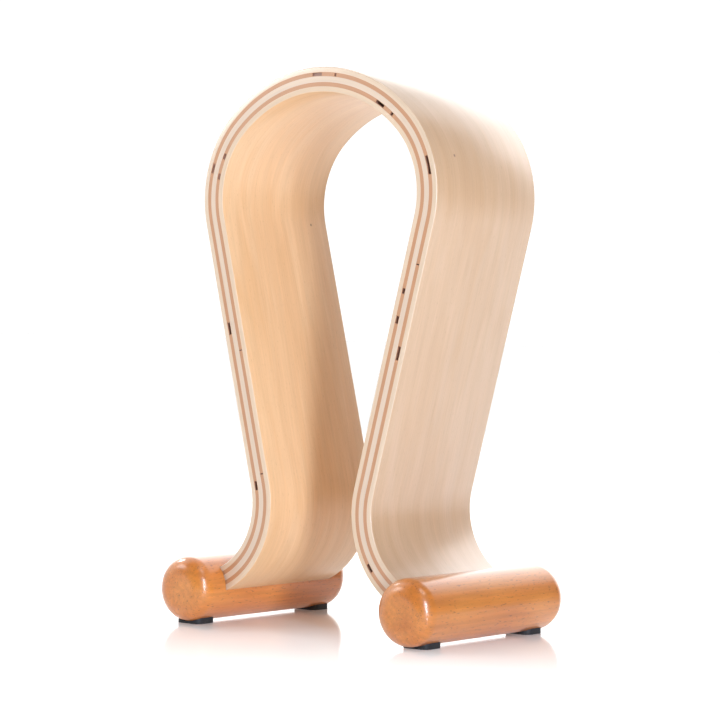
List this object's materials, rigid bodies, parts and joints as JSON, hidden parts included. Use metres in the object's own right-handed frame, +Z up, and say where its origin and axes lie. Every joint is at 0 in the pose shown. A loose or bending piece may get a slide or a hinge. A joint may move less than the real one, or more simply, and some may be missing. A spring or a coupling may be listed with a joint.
{
  "type": "headphone stand",
  "caption": "Headphone stand: an omega-shaped bent plywood strip, flared at its tails and grooved into round wooden bar feet with rubber pads; the band hangs over the arch.",
  "frame": {"origin": "on the floor, midway between the two feet and midway along them", "axes": "+Z up, +X across the arch from the left foot to the right foot, -Y the front of the stand; the feet lie along Y"},
  "size_m": [0.169, 0.115, 0.273],
  "materials": {
    "birch_face": "pale face veneer, grain along the strip, satin clear lacquer",
    "birch_cross": "end grain of the cross plies, tan brown, satin clear lacquer",
    "birch_core": "pale core veneer, satin clear lacquer",
    "foot_wood": "orange-brown solid wood, gloss clear lacquer",
    "pin_wood": "plain beech dowel",
    "pad_rubber": "matt black soft rubber"
  },
  "bodies": {
    "root": {"outer_face_veneer": "birch_face", "inner_face_veneer": "birch_face", "outer_cross_veneer": "birch_cross", "inner_cross_veneer": "birch_cross", "core_veneer": "birch_core", "left_foot": "foot_wood", "right_foot": "foot_wood", "left_front_pad": "pad_rubber", "left_back_pad": "pad_rubber", "right_front_pad": "pad_rubber", "right_back_pad": "pad_rubber", "left_front_dowel_pin": "pin_wood", "left_back_dowel_pin": "pin_wood", "right_front_dowel_pin": "pin_wood", "right_back_dowel_pin": "pin_wood"}
  },
  "joints": []
}
